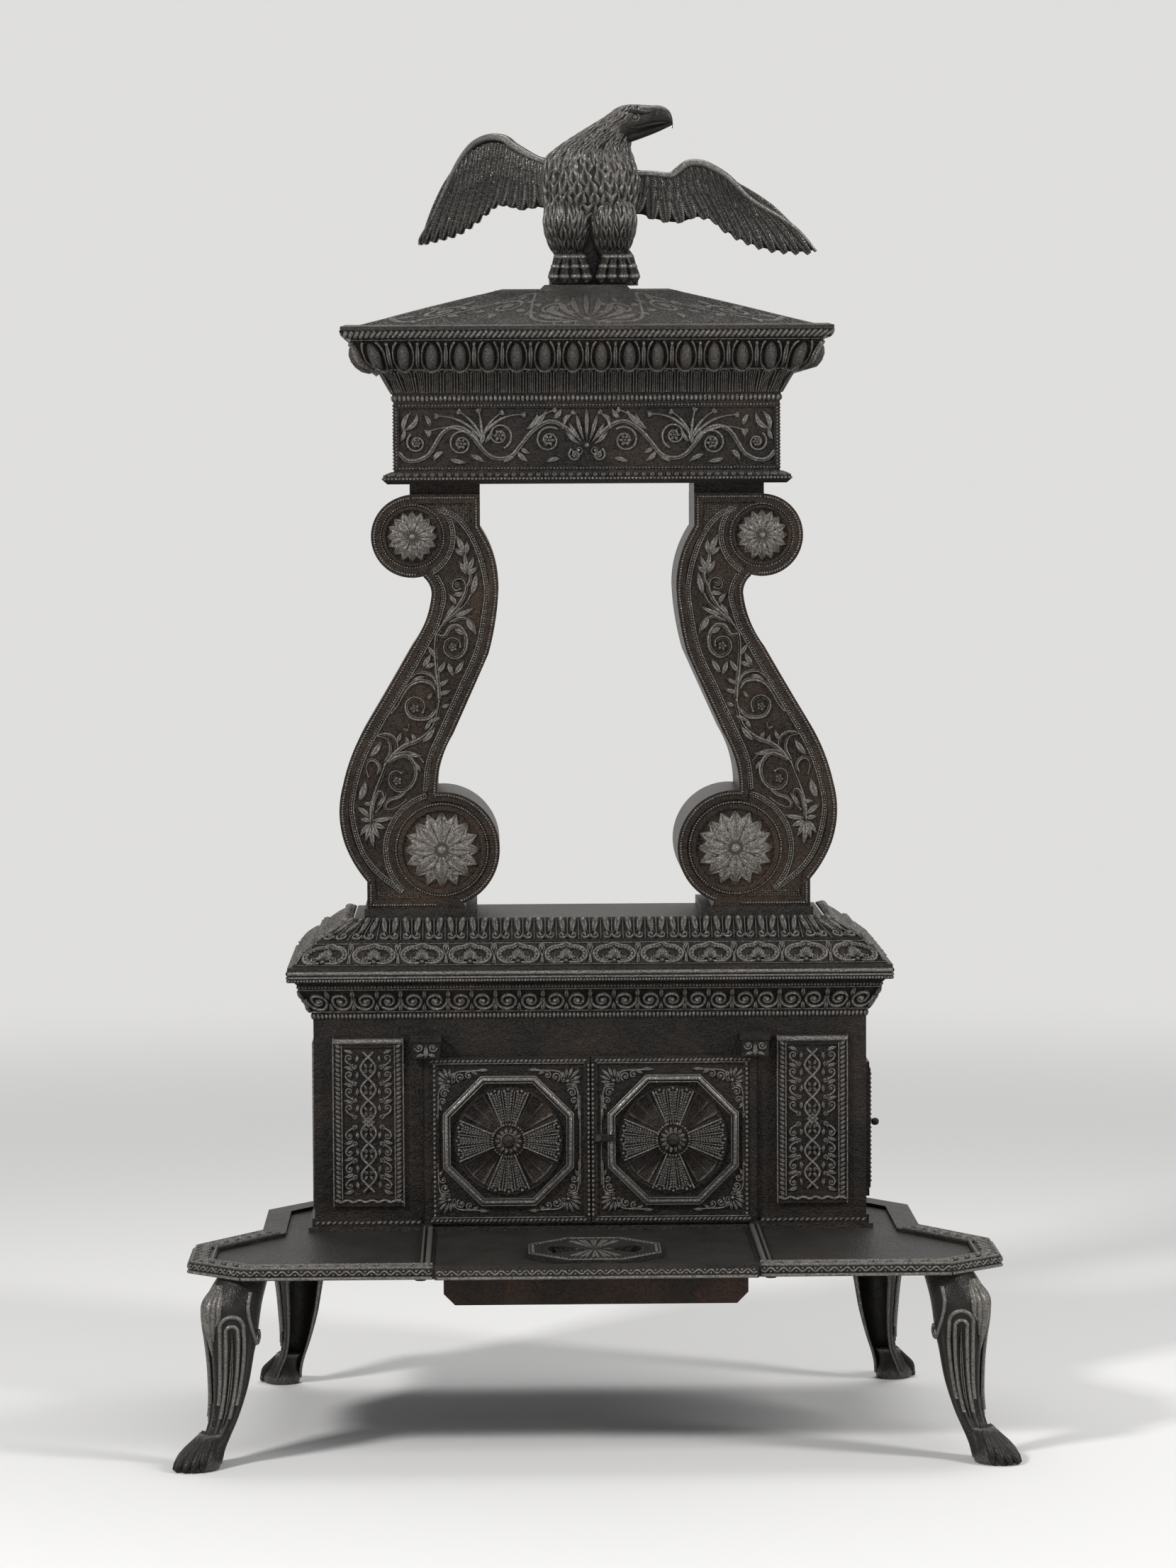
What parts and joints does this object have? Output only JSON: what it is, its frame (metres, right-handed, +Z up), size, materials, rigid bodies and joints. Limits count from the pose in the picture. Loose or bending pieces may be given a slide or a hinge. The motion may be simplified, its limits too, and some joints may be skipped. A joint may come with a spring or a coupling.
{
  "type": "cast iron parlor stove",
  "caption": "Tall cast iron parlor stove: low firebox with pierced fan doors, scroll columns as smoke flues, a box entablature with an eagle, and paw feet.",
  "frame": {"origin": "on the floor under the centre of the part's bounding box", "axes": "+Z up, +X to the viewer's right as the doors are faced, -Y out of the doors towards the viewer"},
  "size_m": [0.8918, 0.5395, 1.447],
  "materials": {
    "black_iron": "black, sand-cast, satin",
    "grey_iron": "greyed and dusty, sand-cast, matte",
    "rusty_iron": "rust-tinted, rough",
    "iron_fasteners": "dark, worn"
  },
  "bodies": {
    "stove": {"hearth_plate": "grey_iron", "ash_trough": "rusty_iron", "trough_screws": "iron_fasteners", "leg_front_left": "black_iron", "leg_front_right": "black_iron", "leg_rear_left": "black_iron", "leg_rear_right": "black_iron", "leg_bolts": "iron_fasteners", "front_plate": "black_iron", "left_end_plate": "black_iron", "right_end_plate": "black_iron", "back_plate": "rusty_iron", "capital_left": "black_iron", "capital_right": "black_iron", "capital_screws": "iron_fasteners", "door_pins_left": "iron_fasteners", "door_pins_right": "iron_fasteners", "feed_door_pins": "iron_fasteners", "fire_grate": "rusty_iron", "body_cornice": "black_iron", "mantel_lid": "grey_iron", "tie_rods": "iron_fasteners", "tie_rod_nuts": "iron_fasteners", "column_left_front": "black_iron", "column_left_back": "black_iron", "column_right_front": "black_iron", "column_right_back": "black_iron", "column_bolts": "iron_fasteners", "column_neck_left": "black_iron", "column_neck_right": "black_iron", "entablature_base": "black_iron", "frieze_front": "black_iron", "frieze_left": "black_iron", "frieze_right": "black_iron", "entablature_back": "black_iron", "smoke_collar": "black_iron", "collar_screws": "iron_fasteners", "entablature_cornice": "black_iron", "roof_plate": "black_iron", "roof_pins": "iron_fasteners", "eagle_body": "black_iron", "eagle_wing_left": "black_iron", "eagle_wing_right": "black_iron", "eagle_stud": "iron_fasteners"},
    "left_door": {"door_left": "black_iron"},
    "right_door": {"door_right": "black_iron", "latch_rivet": "iron_fasteners"},
    "left_shutter": {"shutter_left": "rusty_iron", "shutter_knob_left": "black_iron"},
    "right_shutter": {"shutter_right": "rusty_iron", "shutter_knob_right": "black_iron"},
    "latch": {"door_latch": "black_iron"},
    "slide": {"hearth_slide": "grey_iron", "hearth_register_rivet": "iron_fasteners"},
    "register": {"hearth_register": "grey_iron"},
    "feed_door": {"feed_door": "black_iron"},
    "feed_latch": {"feed_door_latch": "black_iron"}
  },
  "joints": [
    {"name": "left_door_hinge", "type": "hinge", "parent": "stove", "child": "left_door", "pos_m": [-0.181, 0.02882, 0.3065], "axis": [0, 0, -1], "range_deg": [0, 110]},
    {"name": "right_door_hinge", "type": "hinge", "parent": "stove", "child": "right_door", "pos_m": [0.181, 0.02882, 0.3065], "axis": [0, 0, 1], "range_deg": [0, 110]},
    {"name": "left_register_turn", "type": "hinge", "parent": "left_door", "child": "left_shutter", "pos_m": [-0.0908, 0.03411, 0.3065], "axis": [0, 1, 0], "range_deg": [0, 45]},
    {"name": "right_register_turn", "type": "hinge", "parent": "right_door", "child": "right_shutter", "pos_m": [0.0908, 0.03411, 0.3065], "axis": [0, 1, 0], "range_deg": [0, 45]},
    {"name": "door_latch_turn", "type": "hinge", "parent": "right_door", "child": "latch", "pos_m": [0.008, 0.01796, 0.3095], "axis": [0, 1, 0], "range_deg": [0, 180]},
    {"name": "hearth_slide_pull", "type": "slide", "parent": "stove", "child": "slide", "axis": [0, -1, 0], "range_m": [0, 0.12]},
    {"name": "hearth_register_turn", "type": "hinge", "parent": "slide", "child": "register", "pos_m": [0, -0.13839, 0.2113], "axis": [0, 0, 1], "range_deg": [0, 90]},
    {"name": "feed_door_hinge", "type": "hinge", "parent": "stove", "child": "feed_door", "pos_m": [0.3083, 0.18762, 0.31], "axis": [0, 0, 1], "range_deg": [0, 100]},
    {"name": "feed_latch_turn", "type": "hinge", "parent": "feed_door", "child": "feed_latch", "pos_m": [0.3, 0.12762, 0.31], "axis": [1, 0, 0], "range_deg": [0, 90]}
  ]
}
